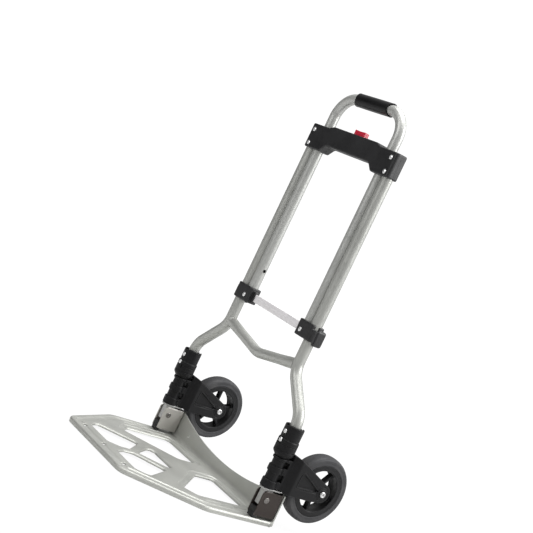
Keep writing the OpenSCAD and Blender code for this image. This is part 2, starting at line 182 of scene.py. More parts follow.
def solid(f, low, high, cell, keep=0.5):
    """The surface of f = 0 as a closed mesh of quads, thinned out to the share kept."""
    cell = cell * FINE
    d, low = sample_grid(f, low, high, cell)
    d = np.where(d == 0, 1e-9, d)
    s = d < 0
    corners = [(i, j, k) for i in (0, 1) for j in (0, 1) for k in (0, 1)]
    nx, ny, nz = d.shape
    total = sum(s[i:nx - 1 + i, j:ny - 1 + j, k:nz - 1 + k].astype(np.int8) for i, j, k in corners)
    active = (total > 0) & (total < 8)
    index = np.full(active.shape, -1, np.int64)
    index[active] = np.arange(active.sum())
    ijk = np.argwhere(active)
    acc, hits = np.zeros((len(ijk), 3)), np.zeros(len(ijk))
    for a in corners:
        for axis in range(3):
            if a[axis]:
                continue
            b = list(a)
            b[axis] = 1
            pa, pb = ijk + a, ijk + b
            fa, fb = d[tuple(pa.T)], d[tuple(pb.T)]
            cross = (fa < 0) != (fb < 0)
            t = np.where(cross, fa / np.where(cross, fa - fb, 1), 0)
            point = np.array(a) + t[:, None] * (np.array(b) - a)
            acc[cross] += point[cross]
            hits += cross
    v = (ijk + acc / hits[:, None]) * cell + low
    faces = []
    for axis in range(3):
        u, w = [(1, 2), (2, 0), (0, 1)][axis]
        first, second = [slice(None)] * 3, [slice(None)] * 3
        first[axis], second[axis] = slice(0, -1), slice(1, None)
        s0, s1 = s[tuple(first)], s[tuple(second)]
        for inside in (True, False):
            at = np.argwhere((s0 == inside) & (s1 != inside))
            at = at[(at[:, u] > 0) & (at[:, w] > 0)]
            at = at[(at[:, u] < index.shape[u]) & (at[:, w] < index.shape[w])]
            ring = []
            for du, dw in ((-1, -1), (0, -1), (0, 0), (-1, 0)):
                q = at.copy()
                q[:, u] += du
                q[:, w] += dw
                ring.append(index[tuple(q.T)])
            quad = np.stack(ring, 1)
            faces.append(quad if inside else quad[:, ::-1])
    faces = np.concatenate(faces)
    v, _ = settle(f, v, 2)
    if keep < 1:
        v, faces = thinned(v, faces, keep)
    v, normals = settle(f, v, 1)
    return v, faces, normals


def placed(name, data):
    """A new object in the scene."""
    obj = bpy.data.objects.new(name, data)
    bpy.context.scene.collection.objects.link(obj)
    return obj


def thinned(v, faces, keep):
    """The same surface with only a share of its faces."""
    mesh = bpy.data.meshes.new("thin")
    mesh.from_pydata(v.tolist(), [], faces.tolist())
    obj = placed("thin", mesh)
    m = obj.modifiers.new("thin", "DECIMATE")
    m.ratio = keep
    done = obj.evaluated_get(bpy.context.evaluated_depsgraph_get()).to_mesh()
    co = np.zeros(len(done.vertices) * 3)
    done.vertices.foreach_get("co", co)
    polygons = [tuple(q.vertices) for q in done.polygons]
    bpy.data.objects.remove(obj)
    bpy.data.meshes.remove(mesh)
    return co.reshape(-1, 3), polygons


# ------ meshes made directly

def lathe(profile, segments, closed=True):
    """Turns (radius, along) points about the Z axis. Points on the axis close the ends."""
    verts, faces, rings = [], [], []
    for r, z in profile:
        if r < 1e-6:
            rings.append([len(verts)])
            verts.append((0, 0, z))
        else:
            rings.append(list(range(len(verts), len(verts) + segments)))
            for k in range(segments):
                a = 2 * math.pi * k / segments
                verts.append((r * math.cos(a), r * math.sin(a), z))
    pairs = list(zip(rings[:-1], rings[1:])) + ([(rings[-1], rings[0])] if closed else [])
    for a, b in pairs:
        for k in range(segments):
            n = (k + 1) % segments
            if len(a) == 1 and len(b) == 1:
                continue
            if len(a) == 1:
                faces.append((a[0], b[n], b[k]))
            elif len(b) == 1:
                faces.append((a[k], a[n], b[0]))
            else:
                faces.append((a[k], a[n], b[n], b[k]))
    return np.array(verts, float), faces


def sweep(path, outer, inner, segments=56):
    """A round tube along a path in the XZ plane, with walls and finished ends."""
    path = np.array(path, float)
    side = np.array((0, 1, 0.0))
    tangent = np.gradient(path, axis=0)
    steps = np.diff(path, axis=0)
    steps /= np.linalg.norm(steps, axis=1)[:, None]
    tangent[1:-1] = steps[:-1] + steps[1:]
    tangent /= np.linalg.norm(tangent, axis=1)[:, None]
    edge = 0.35
    rings = [(p, np.cross(t, side), t) for p, t in zip(path, tangent)]
    verts, faces, stack = [], [], []
    first, last = rings[0], rings[-1]

    def ring(r, where, shift=0.0):
        p, n, t = where
        ids = []
        for k in range(segments):
            a = 2 * math.pi * k / segments
            ids.append(len(verts))
            verts.append(p + t * shift + r * (math.cos(a) * n + math.sin(a) * side))
        stack.append(ids)

    ring(outer - edge, first)
    ring(outer, first, edge)
    for where in rings[1:-1]:
        ring(outer, where)
    ring(outer, last, -edge)
    ring(outer - edge, last)
    ring(inner, last)
    for where in reversed(rings[1:-1]):
        ring(inner, where)
    ring(inner, first)
    for a, b in zip(stack, stack[1:] + stack[:1]):
        for k in range(segments):
            n = (k + 1) % segments
            faces.append((a[k], b[k], b[n], a[n]))
    return np.array(verts), faces


def arc_path(points, radius, step=5.0):
    """A line with arcs at its corners."""
    points = [np.array(p, float) for p in points]
    out = [points[0]]
    for a, b, c in zip(points, points[1:], points[2:]):
        u, v = (a - b) / np.linalg.norm(a - b), (c - b) / np.linalg.norm(c - b)
        half = math.acos(np.clip(u @ v, -1, 1)) / 2
        m = (u + v) / np.linalg.norm(u + v)
        o = b + m * radius / math.sin(half)
        p, q = b + u * radius / math.tan(half) - o, b + v * radius / math.tan(half) - o
        whole = math.pi - 2 * half
        k = max(2, int(math.degrees(whole) / step))
        for s in np.linspace(0, 1, k + 1):
            w = (math.sin((1 - s) * whole) * p + math.sin(s * whole) * q) / math.sin(whole)
            out.append(o + w)
    out.append(points[-1])
    return out


def turned(v, axis):
    """Points made along Z, turned to lie along an axis given by its name."""
    x, y, z = v.T
    return np.stack({"+x": (z, x, y), "+y": (y, z, x), "-y": (x, -z, y)}[axis], 1)


def mirrored(v, faces, normals=None):
    """The other side's mesh."""
    flip = np.array((-1, 1, 1))
    return v * flip, [tuple(reversed(f)) for f in faces], None if normals is None else normals * flip


# ------ objects

def piece(name, mesh_data, body, material, replaces=(), angle=35):
    """Sets a mesh made in millimetres in its place, on its body and material."""
    v, faces = mesh_data[0], mesh_data[1]
    normals = mesh_data[2] if len(mesh_data) > 2 else None
    mesh = bpy.data.meshes.new(name)
    faces = faces.tolist() if hasattr(faces, "tolist") else faces
    mesh.from_pydata((v * MM + (0, BACK, 0)).tolist(), [], faces)
    mesh.update()
    for poly in mesh.polygons:
        poly.use_smooth = True
    if normals is None:
        mesh.set_sharp_from_angle(angle=math.radians(angle))
    else:
        mesh.normals_split_custom_set_from_vertices(normals.tolist())
    obj = placed(name, mesh)
    obj.data.materials.append(material)
    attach(obj, body)
    if replaces:
        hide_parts(*replaces)
    return obj


def paired(name, mesh_data, body, material, replaced):
    """The right-hand piece and then its mirror image. {} in a name stands for the side."""
    for side, data in (("right", mesh_data), ("left", mirrored(*mesh_data))):
        piece(name.format(side), data, body.format(side), material, [replaced.format(side)])


def at_post(mesh_data):
    """A mesh made about an upright axis, moved to the right-hand post."""
    v, *rest = mesh_data
    return v + (POST_X, 0, 0), *rest


def joined(parts):
    """Several meshes as one."""
    verts, faces, base = [], [], 0
    for part in parts:
        v, f = part[0], part[1]
        verts.append(v)
        faces += [tuple(i + base for i in face) for face in f]
        base += len(v)
    return np.concatenate(verts), faces


# ------ materials

def shader(nodes, kind, **values):
    """A shader node with its inputs set. From_Min stands for the input From Min."""
    made = nodes.new("ShaderNode" + kind)
    for name, value in values.items():
        made.inputs[name.replace("_", " ")].default_value = value
    return made


def material(name, base, rough, metallic=0.0, grain=900.0, grain_depth=0.02, blotch=0.06, worn_edge_and_highlight=None,
             scratches=0.0, coat=0.0, spec=0.5, dust=0.0, streak=(1, 1, 1)):
    """Colour with broad and fine variation, lightened edges that are partly wear and partly painted
    highlight, settled dust, uneven roughness and a fine relief.
    """
    m = bpy.data.materials.new(name)
    m.use_nodes = True
    t = m.node_tree
    n, link = t.nodes, t.links
    bsdf = n["Principled BSDF"]
    bsdf.inputs["Metallic"].default_value = metallic
    bsdf.inputs["Specular IOR Level"].default_value = spec
    bsdf.inputs["Coat Weight"].default_value = coat
    bsdf.inputs["Coat Roughness"].default_value = 0.15
    spot = shader(n, "TexCoord").outputs["Object"]
    stretched = shader(n, "Mapping", Scale=streak)
    link.new(spot, stretched.inputs["Vector"])

    def noise(scale, detail, source):
        x = shader(n, "TexNoise", Scale=scale, Detail=detail, Roughness=0.55)
        link.new(source, x.inputs["Vector"])
        return x.outputs["Fac"]

    def ramp(value, low, high, a, b):
        x = shader(n, "MapRange", From_Min=low, From_Max=high, To_Min=a, To_Max=b)
        link.new(value, x.inputs["Value"])
        return x.outputs["Result"]

    def mixed(factor, a, b):
        x = shader(n, "Mix")
        x.data_type = "RGBA"
        link.new(factor, x.inputs["Factor"])
        for socket, value in (("A", a), ("B", b)):
            target = [i for i in x.inputs if i.name == socket and i.type == "RGBA"][0]
            if isinstance(value, tuple):
                target.default_value = (*value, 1)
            else:
                link.new(value, target)
        return [o for o in x.outputs if o.type == "RGBA"][0]

    broad = noise(14.0, 3.0, spot)
    fine = noise(grain, 3.0, stretched.outputs["Vector"])
    dark = tuple(c * (1 - blotch) for c in base)
    light = tuple(min(1, c * (1 + blotch) + blotch * 0.01) for c in base)
    colour = mixed(ramp(broad, 0.35, 0.65, 0.0, 1.0), dark, light)
    colour = mixed(ramp(fine, 0.62, 0.78, 0.0, 0.35 * min(1.0, blotch * 6)), colour,
                   tuple(c * 0.72 for c in base))
    # convex edges are lightened in colour: partly wear, partly a painted edge highlight
    if worn_edge_and_highlight:
        point = shader(n, "NewGeometry").outputs["Pointiness"]
        edge = ramp(point, 0.52, 0.60, 0.0, 1.0)
        broken = ramp(noise(70.0, 4.0, spot), 0.45, 0.62, 0.0, 1.0)
        both = shader(n, "Math")
        both.operation = "MULTIPLY"
        link.new(edge, both.inputs[0])
        link.new(broken, both.inputs[1])
        colour = mixed(both.outputs[0], colour, worn_edge_and_highlight)
    if dust:
        settled = ramp(noise(38.0, 5.0, spot), 0.48, 0.72, 0.0, dust)
        colour = mixed(settled, colour, (0.30, 0.29, 0.27))
    link.new(colour, bsdf.inputs["Base Color"])
    vary = ramp(noise(32.0, 4.0, spot), 0.3, 0.7, rough - 0.06, rough + 0.07)
    link.new(vary, bsdf.inputs["Roughness"])
    bump = shader(n, "Bump", Strength=0.6, Distance=grain_depth * MM)
    link.new(fine, bump.inputs["Height"])
    relief = bump
    if scratches:
        cells = shader(n, "TexVoronoi", Scale=46.0)
        cells.feature = "DISTANCE_TO_EDGE"
        link.new(spot, cells.inputs["Vector"])
        line = ramp(cells.outputs["Distance"], 0.0, 0.02, 1.0, 0.0)
        second = shader(n, "Bump", Strength=scratches, Distance=0.02 * MM)
        second.invert = True
        link.new(line, second.inputs["Height"])
        link.new(bump.outputs["Normal"], second.inputs["Normal"])
        relief = second
    link.new(relief.outputs["Normal"], bsdf.inputs["Normal"])
    return m


PAINT = dict(metallic=0.5, grain=700, grain_depth=0.012, blotch=0.03, coat=0.15, scratches=0.05)
M = {
    "frame": material("silver_paint", (0.44, 0.445, 0.42), 0.38, **PAINT),
    "handle": material("silver_paint_handle", (0.48, 0.485, 0.465), 0.38, **PAINT),
    "bar": material("bar_aluminium", (0.80, 0.78, 0.79), 0.45, metallic=0.15, grain=500, grain_depth=0.005,
                    blotch=0.03, streak=(0.05, 1, 1)),
    "plate": material("plate_aluminium", (0.46, 0.465, 0.435), 0.44, metallic=0.55, grain=650,
                      grain_depth=0.035, blotch=0.05, scratches=0.12, streak=(0.35, 1, 1)),
    "ear": material("ear_metal", (0.47, 0.455, 0.425), 0.38, metallic=0.55, grain=600, grain_depth=0.03,
                    blotch=0.05, worn_edge_and_highlight=(0.7, 0.7, 0.68)),
    # a darker copy of the bracket metal: painted shade for the right-hand bracket
    "ear_painted_shade": material("ear_metal_painted_shade", (0.042, 0.034, 0.030), 0.36, metallic=0.5, grain=600,
                         grain_depth=0.03, blotch=0.10, worn_edge_and_highlight=(0.20, 0.18, 0.17), spec=0.35),
    "plastic": material("black_plastic", (0.0085, 0.0085, 0.0095), 0.42, grain=1400, grain_depth=0.03,
                        blotch=0.10, worn_edge_and_highlight=(0.05, 0.05, 0.052), spec=0.55),
    # a darker copy of the black plastic for the collars and forks: painted shade on their brightly lit
    # outward faces
    "fork": material("fork_plastic_painted_shade", (0.0052, 0.0052, 0.0058), 0.42, grain=1300, grain_depth=0.02,
                     blotch=0.10, worn_edge_and_highlight=(0.045, 0.045, 0.047), spec=0.22),
    "hub": material("hub_plastic", (0.0056, 0.0056, 0.0064), 0.46, grain=1300, grain_depth=0.03, blotch=0.10,
                    worn_edge_and_highlight=(0.035, 0.035, 0.037), spec=0.27),
    "bush": material("nylon", (0.05, 0.05, 0.05), 0.5, grain=900, grain_depth=0.02, blotch=0.06),
    "tyre": material("tyre_rubber", (0.038, 0.038, 0.041), 0.60, grain=1100, grain_depth=0.05, blotch=0.12,
                     dust=0.08, spec=0.4),
    "foam": material("grip_foam", (0.005, 0.005, 0.0055), 0.33, grain=1500, grain_depth=0.05, blotch=0.2,
                     spec=0.26),
    "rubber": material("stop_rubber", (0.008, 0.008, 0.008), 0.6, grain=900, grain_depth=0.05, blotch=0.1),
    "red": material("red_plastic", (0.56, 0.014, 0.042), 0.30, grain=900, grain_depth=0.012, blotch=0.05,
                    coat=0.3),
    "rivet": material("rivet_aluminium", (0.80, 0.80, 0.80), 0.28, metallic=0.7, grain=900,
                      grain_depth=0.01, blotch=0.03),
    "zinc": material("zinc_steel", (0.42, 0.42, 0.41), 0.34, metallic=0.7, grain=500, grain_depth=0.02,
                     blotch=0.08, scratches=0.15),
    "pin": material("pin_steel", (0.20, 0.19, 0.18), 0.26, metallic=0.8, grain=500, grain_depth=0.02,
                    blotch=0.12, scratches=0.15),
    "bright": material("turned_steel", (0.66, 0.66, 0.66), 0.26, metallic=0.85, grain=700,
                       grain_depth=0.01, blotch=0.05),
}

for node, key in {"left_guide_bush": "bush", "right_guide_bush": "bush", "button_spring": "bright",
                  "left_lock_pin": "bright", "right_lock_pin": "bright"}.items():
    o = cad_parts[node]
    o.data.materials.clear()
    o.data.materials.append(M[key])


# ------ frame tubes

BEND_TOP, BEND_R = 261.0, 42.0
BEND_LOW = BEND_TOP - (POST_X - TUBE_X)
tube_top = float(box_mm("right_frame_tube")[1][2])
tube_low = float(box_mm("right_frame_tube")[0][2])
tube_path = arc_path([(TUBE_X, 0, tube_top), (TUBE_X, 0, BEND_TOP), (POST_X, 0, BEND_LOW),
                      (POST_X, 0, tube_low)], BEND_R, 3.0)
paired("{}_frame_tube_swept", sweep(tube_path, TUBE_R, TUBE_BORE, 64), "frame", M["frame"],
       "{}_frame_tube")

# the brace, with a weld that runs out onto the frame tubes
BRACE_R, BRACE_Z = 9.5, 250.0
RISE, CURVE = math.radians(11), 60.0
brace_path = [np.array((CURVE * math.sin(a), 0, BRACE_Z + CURVE - CURVE * math.cos(a)))
              for a in np.linspace(0, RISE, 5)]
brace_path.append(brace_path[-1] + 110 * np.array((math.cos(RISE), 0, math.sin(RISE))))
near_tube = [p for p in tube_path if 215 < p[2] < 300]
near_tube = [np.array((TUBE_X, 0, 330.0))] + near_tube


def brace(p):
    """The brace's tube, pressed a little taller toward its ends, with a fillet onto the frame tubes."""
    q = p * (0, 1, 1) + np.abs(p[:, :1]) * (1, 0, 0)
    tube = along_path(q, near_tube) - TUBE_R
    pressed = 0.09 * ease((q[:, 0] - 62) / 40)
    middle_z = np.interp(q[:, 0], [c[0] for c in brace_path], [c[2] for c in brace_path])
    flat = np.stack([q[:, 0], q[:, 1] / (1 - pressed), middle_z + (q[:, 2] - middle_z) / (1 + pressed)], 1)
    run = along_path(flat, brace_path)
    body = smin(run - BRACE_R, tube + 1.0, 6.0)
    body = smax(body, -tube, 0.4)
    return np.maximum(body, run - BRACE_R - 1.8)


piece("cross_brace_welded", solid(brace, (-116, -12, 238), (116, 12, 292), 1.1, 0.55), "frame",
      M["frame"], ["cross_brace"])


# ------ handle

LEG_LOW, HANDLE_BEND = 319, 45.0
handle_path = arc_path([(-LEG_X, 0, LEG_LOW), (-LEG_X, 0, GRIP_Z), (LEG_X, 0, GRIP_Z), (LEG_X, 0, LEG_LOW)],
                       HANDLE_BEND, 3.0)
handle = piece("handle_tube_bent", sweep(handle_path, LEG_R, LEG_BORE, 64), "handle",
               M["handle"], ["handle_tube"])


def drilled(obj, holes):
    """Cuts round holes given as (x from, x to, z, radius) through a tube along X."""
    for k, (a, b, z, r) in enumerate(holes):
        v, f = lathe([(0, a), (r, a), (r, b), (0, b)], 24, closed=False)
        v = turned(v, "+x") + (0, 0, z)
        mesh = bpy.data.meshes.new("drill")
        mesh.from_pydata((v * MM + (0, BACK, 0)).tolist(), [], f)
        mesh.update()
        b_mesh = bmesh.new()
        b_mesh.from_mesh(mesh)
        bmesh.ops.recalc_face_normals(b_mesh, faces=b_mesh.faces)
        b_mesh.to_mesh(mesh)
        b_mesh.free()
        tool = placed("drill", mesh)
        m = obj.modifiers.new("drill%d" % k, "BOOLEAN")
        m.operation, m.object, m.solver = "DIFFERENCE", tool, "EXACT"
        dg = bpy.context.evaluated_depsgraph_get()
        cut = bpy.data.meshes.new_from_object(obj.evaluated_get(dg))
        obj.modifiers.clear()
        obj.data = cut
        bpy.data.objects.remove(tool)
    for poly in obj.data.polygons:
        poly.use_smooth = True
    obj.data.set_sharp_from_angle(angle=math.radians(35))


LOCK_R = 3.5
lock_heights = (384.0, 652.0)
drilled(handle, [(LEG_X - 20, LEG_X - 2, z, LOCK_R) for z in lock_heights]
        + [(2 - LEG_X, 20 - LEG_X, z, LOCK_R) for z in lock_heights])


def foam_sleeve():
    """The grip: a foam tube, a little fuller in the middle and pinched at its ends."""
    half, edge, out = 51.0, 1.6, []
    radius = float(box_mm("grip")[1][2]) - GRIP_Z
    quarter = np.linspace(0, math.pi / 2, 9)
    for a in quarter:
        out.append((radius - edge + edge * math.sin(a), -half + edge - edge * math.cos(a)))
    for x in np.linspace(-half + 5, half - 5, 25):
        out.append((radius - 0.28 + 0.28 * math.cos(x / half * 1.45), x))
    for a in reversed(quarter):
        out.append((radius - edge + edge * math.sin(a), half - edge + edge * math.cos(a)))
    out += [(LEG_R + 0.05, half), (LEG_R + 0.05, 0), (LEG_R + 0.05, -half)]
    v, f = lathe(out, 72)
    wave = 1 + 0.0035 * np.sin(v[:, 2] * 0.33 + 2) * np.cos(3 * np.arctan2(v[:, 1], v[:, 0]))
    outer = np.hypot(v[:, 0], v[:, 1]) > LEG_R + 0.5
    limit = (radius / np.maximum(np.hypot(v[:, 0], v[:, 1]), 1))
    v[:, :2] *= np.where(outer, np.minimum(wave, limit), 1)[:, None]
    facing = np.abs(np.cos(np.arctan2(v[:, 1], v[:, 0])))
    reach = np.clip((np.abs(v[:, 2]) - (half - 9)) / 9, 0, 1)
    v[:, 2] -= np.sign(v[:, 2]) * reach * 4.6 * facing ** 1.6
    return turned(v, "+x") + (0, 0, GRIP_Z), f


grip = piece("grip_foam_sleeve", foam_sleeve(), "handle", M["foam"], ["grip"], 50)


# ------ release block

BLOCK_LOW, BLOCK_HIGH = float(box_mm("block_front")[0][2]), 678.0
BLOCK_TOP = float(box_mm("block_front")[1][2])
BLOCK_W = float(box_mm("block_front")[1][0])
BLOCK_D = -float(box_mm("block_front")[0][1])
BUSH_R = 11.32
CHEEK, SADDLE, NECK_RISE = 80, 66, 13.5
block_side = rounded([(-BLOCK_W, BLOCK_LOW), (-CHEEK, BLOCK_LOW), (-SADDLE, BLOCK_LOW + NECK_RISE),
                      (SADDLE, BLOCK_LOW + NECK_RISE), (CHEEK, BLOCK_LOW), (BLOCK_W, BLOCK_LOW),
                      (BLOCK_W, BLOCK_HIGH), (CHEEK, BLOCK_HIGH), (SADDLE, BLOCK_TOP), (-SADDLE, BLOCK_TOP),
                      (-CHEEK, BLOCK_HIGH), (-BLOCK_W, BLOCK_HIGH)],
                     [2.5, 4, 9, 9, 4, 2.5, 2.5, 9, 9, 9, 9, 2.5], 22)


def block(p):
    """Both halves of the block as one, with its bores, the button's well and the pins' channel."""
    x, y, z = p.T
    ax = np.abs(x)
    side = outline(x, z, block_side)
    q = np.stack([ax - (BLOCK_W - 8), np.abs(y) - (BLOCK_D - 8)], 1)
    plan = np.hypot(*np.maximum(q, 0).T) + np.minimum(q.max(1), 0) - 8
    d = smax(side, plan, 3.2)
    middle = (BLOCK_LOW + BLOCK_TOP) / 2
    crown = np.abs(y) - BLOCK_D + 0.9 * ((z - middle) / 26) ** 2 * np.clip(1 - ax / 60, 0, 1)
    d = smax(d, crown, 2.0)
    m = np.stack([ax, y, z], 1)
    for cut in (rod(m, 2, (TUBE_X, 0), TUBE_R + 0.08, 560, tube_top, 0.3),
                rod(m, 2, (LEG_X, 0), BUSH_R, 560, 760, 0.3)):
        d = smax(d, -cut, 0.8)
    d = smax(d, -rbox(m, (-30, -7.6, 647.4), (29.1, 7.6, 678.6), 0.6), 0.5)
    d = smax(d, -rbox(m, (-16, -6.6, 668), (15.6, 6.6, 720), 1.4), 1.2)
    return smax(d, -rbox(m, (24, -3.8, 648.2), (88, 3.8, 655.8), 0.5), 0.5)


def front_half(p):
    return smax(block(p), p[:, 1] + 0.005, 0.16)


shell = solid(front_half, (-BLOCK_W, -BLOCK_D, BLOCK_LOW), (BLOCK_W, 1, BLOCK_TOP), 1.15, 0.4)
piece("block_front_moulded", shell, "frame", M["plastic"], ["block_front"])
v, f, n = shell
flip = np.array((1, -1, 1))
piece("block_rear_moulded", (v * flip, [tuple(reversed(q)) for q in f], n * flip), "frame",
      M["plastic"], ["block_rear"])


def release(p):
    """The button: a dished cap on a bar, with a wedge at each end."""
    x, y, z = p.T
    m = np.stack([np.abs(x), y, z], 1)
    top = float(box_mm("button")[1][2])
    cap = rbox(m, (-16, -6, 670), (15, 6, top + 1.5), 2.2)
    dish = top - 0.8 * np.clip(1 - (m[:, 0] / 15) ** 2, 0, 1)
    cap = smax(cap, z - dish, 1.6)
    bar = rbox(m, (-30, -7, 672), (28, 7, 678), 0.7)
    wedge = outline(m[:, 0], z, [(14, 674), (14, 670), (24, 660), (28, 660), (28, 674)])
    wedge = slab(wedge, y, -6.5, 6.5, 0.6)
    return smin(smin(cap, bar, 0.6), wedge, 0.6)


piece("release_button", solid(release, (-28, -7, 660), (28, 7, 693), 0.8, 0.5), "button",
      M["red"], ["button"])


# ------ rivets

def dome(head, tall, shank, length):
    """A rivet along Z: a domed head above zero with a shank below."""
    ball = (head * head + tall * tall) / (2 * tall)
    out = [(0, -length), (shank, -length), (shank, -0.05), (head - 0.2, -0.05), (head, 0.12)]
    for s in np.linspace(math.asin(min(1, head / ball)), 0, 9)[1:]:
        out.append((ball * math.sin(s), max(0.15, ball * math.cos(s) - ball + tall)))
    return lathe(out, 32, closed=False)


def rivet_set(places):
    """Rivets given as (centre, facing, head radius, head height, shank radius, shank length)."""
    parts = []
    for centre, facing, head, tall, shank, length in places:
        v, f = dome(head, tall, shank, length)
        v = turned(v, facing)
        parts.append((v + np.array(centre), f))
    return joined(parts)


SIDES = (-1, 1)
SHANK_R = 2.2
piece("block_rivet_heads",
      rivet_set([((s * TUBE_X, side * BLOCK_D, z), facing, 4.2, 1.5, SHANK_R, length) for s in SIDES
                 for z in (639.5, 666.5) for side, facing, length in ((-1, "-y", 12), (1, "+y", 1.5))]),
      "frame", M["rivet"], ["block_rivets"])
piece("collar_rivet_heads",
      rivet_set([((s * POST_X, -y, z), "-y", 4.3, 1.8, SHANK_R, 9) for s in SIDES
                 for z, y in ((152.0, 18.8), (168.0, 17.3))]),
      "frame", M["rivet"], ["collar_rivets"])
piece("clamp_rivet_heads",
      rivet_set([((s * LEG_X, -13.5, 329), "-y", 4.2, 1.4, SHANK_R, 4.5) for s in SIDES]),
      "handle", M["rivet"], ["clamp_rivets"])
piece("bracket_rivet_heads",
      rivet_set([((s * POST_X, y, z), facing, 3.6, 1.4, 2, length) for s in SIDES for z in (24, 48)
                 for y, facing, length in ((35.8, "-y", 4.5), (41.0, "+y", 0.4))]),
      "nose", M["rivet"], ["bracket_rivets"])


# ------ clamps and cross bar

BAR_LOW, BAR_HIGH, BAR_END, BAR_HALF = 324, 339, 85, 1.5
clamp_plan = rounded([(82.5, -13.5), (132, -13.5), (132, 13.5), (82.5, 13.5)], [6, 10, 10, 6], 15)
lug_plan = rounded([(116, -3), (134.5, -3), (134.5, 18), (112, 18)], [1.5, 3, 5.5, 3], 15)


def clamp(p):
    """A slider on the leg and the frame tube, with a lug behind and a socket for the bar."""
    x, y, z = p.T
    d = slab(outline(x, y, clamp_plan), z, 317.5, 347.5, 2.0)
    lug = slab(outline(x, y, lug_plan), z, 312.5, 342.5, 5.0)
    d = smin(d, lug, 0.8)
    d = smin(d, rbox(p, (76, -4.5, 320.5), (88, 5.5, 342.5), 1.2), 1.0)
    notch = rbox(p, (126.5, -20, 340), (140, -1.5, 352), 1.0)
    groove = rbox(p, (124.2, -20, 300), (125.4, -12.9, 360), 0.4)
    d = smax(d, -groove, 0.8)
    d = smax(d, -notch, 1.2)
    d = smax(d, -rod(p, 2, (TUBE_X, 0), TUBE_R + 0.1, 300, 380, 0.3), 0.8)
    d = smax(d, -rod(p, 2, (LEG_X, 0), LEG_R + 0.04, 319, 380, 0.3), 0.8)
    return smax(d, -rbox(p, (70, -1.55, BAR_LOW - 0.1), (BAR_END + 0.2, 1.55, BAR_HIGH + 0.1), 0.3), 0.5)


paired("{}_clamp_moulded", solid(clamp, (76, -14, 312), (135, 18, 348), 0.85, 0.55), "handle",
       M["plastic"], "{}_clamp")


def bar(p):
    """The flat bar, with a shallow rolled channel along its front."""
    x, y, z = p.T
    m = np.stack([np.abs(x), y, z], 1)
    d = rbox(m, (-90, -BAR_HALF, BAR_LOW), (BAR_END, BAR_HALF, BAR_HIGH), 0.7)
    channel = np.hypot(y + 4.2, z - (BAR_LOW + BAR_HIGH) / 2) - 3.1
    return smax(d, -smax(channel, m[:, 0] - 70, 1.0), 0.6)


piece("crossbar_rolled", solid(bar, (-BAR_END, -2, BAR_LOW), (BAR_END, 2, BAR_HIGH), 0.9, 0.35), "handle",
      M["bar"], ["crossbar"])


# ------ collars, feet and forks

collar_profile = [(6, 65), (11.6, 65), (11.6, 122.9), (14, 124.4), (18.4, 129.5), (19, 131.5), (19, 154.3),
                  (18.2, 155.6), (17.3, 155.9), (17.3, 157), (17.6, 157.6), (17.6, 179.4), (16.8, 180.5),
                  (15.2, 180.5), (12.0, 180.5), (10.6, 180.5), (10.6, 136), (6, 136)]


def collar(p):
    """A post: a stem for the fork, a barrel with grooves and a slot, and a crown with webbed pockets."""
    x, y, z = p.T
    rho = np.hypot(x, y)
    angle = np.arctan2(y, x)
    d = outline(rho, z, collar_profile)
    pocket = slab(np.abs(rho - 14.0) - 1.5, z, 174, 190, 0.5)
    for a in (30, 90, 150, 210, 270, 330):
        web = np.abs(np.sin(angle - math.radians(a)) * rho) - 1.4
        facing = np.cos(angle - math.radians(a))
        pocket = np.where(facing > 0, smax(pocket, -web, 0.5), pocket)
    d = smax(d, -pocket, 0.6)
    notch = rbox(p, (-3.4, -25, 178.3), (3.4, 25, 190), 0.8)
    d = smax(d, -notch, 0.6)
    a = math.radians(-117)
    along, across = x * math.cos(a) + y * math.sin(a), -x * math.sin(a) + y * math.cos(a)
    slot = rbox(np.stack([along, across, z], 1), (16.8, -1.6, 140.5), (24, 1.6, 149.5), 0.5)
    d = smax(d, -slot, 0.5)
    groove = np.minimum(np.abs(z - 146.5), np.abs(z - 136)) - 0.45
    return smax(d, -smax(np.maximum(groove, 18.35 - rho), 130 - z, 0.3), 0.5)


paired("{}_collar_moulded", at_post(solid(collar, (-19, -19, 65), (19, 19, 180.5), 0.95, 0.5)), "frame",
       M["fork"], "{}_collar")


HINGE = (4, 44.5)


def foot(p):
    """A plate under the post, with a shank inside it and a tongue for the hinge pin."""
    x, y, z = p.T
    plate = smin(np.hypot(x, y) - 13, rbox(p * (1, 1, 0), (-13, 0, -1), (13, 28, 1), 0.4), 0.5)
    plate = slab(smax(plate, np.abs(x) - 8.1, 0.8), z, 62, 65, 0.6)
    tongue = rbox(p, (-6.7, -6, 33), (6.7, 14, 64), 1.2)
    shank = rod(p, 2, (0, 0), 5.95, 60, 92, 0.5)
    d = smin(smin(plate, tongue, 1.0), shank, 0.6)
    return smax(d, -rod(p, 0, HINGE, 4.06, -20, 20, 0.3), 0.4)


paired("{}_foot_forged", at_post(solid(foot, (-9, -13, 33), (9, 28, 92), 0.9, 0.5)), "frame",
       M["zinc"], "{}_foot")

ear_side = rounded([(-9, 14), (41, 14), (41, 60), (-4, 60), (-9, 55)], [2.0, 0.5, 0.5, 3.0, 3.0], 20)
EAR = 10.5


def ear(p):
    """A pressed U with its closed side against the front of the flange."""
    x, y, z = p.T
    outer = rbox(p * (1, 1, 0), (-EAR, -30, -1), (EAR, 38, 1), 0.9)
    inner = rbox(p * (1, 1, 0), (-EAR + 2.2, -60, -1), (EAR - 2.2, 35.8, 1), 0.9)
    q = np.stack([np.abs(x) - (EAR - 4), y - 34], 1)
    corner = np.where((q > 0).all(1), np.hypot(*q.T) - 4, -9.0)
    outer = np.maximum(outer, corner)
    d = smax(smax(outer, -inner, 0.6), outline(y, z, ear_side), 1.0)
    return smax(d, -rod(p, 0, HINGE, 4.0, -20, 20, 0.3), 0.4)


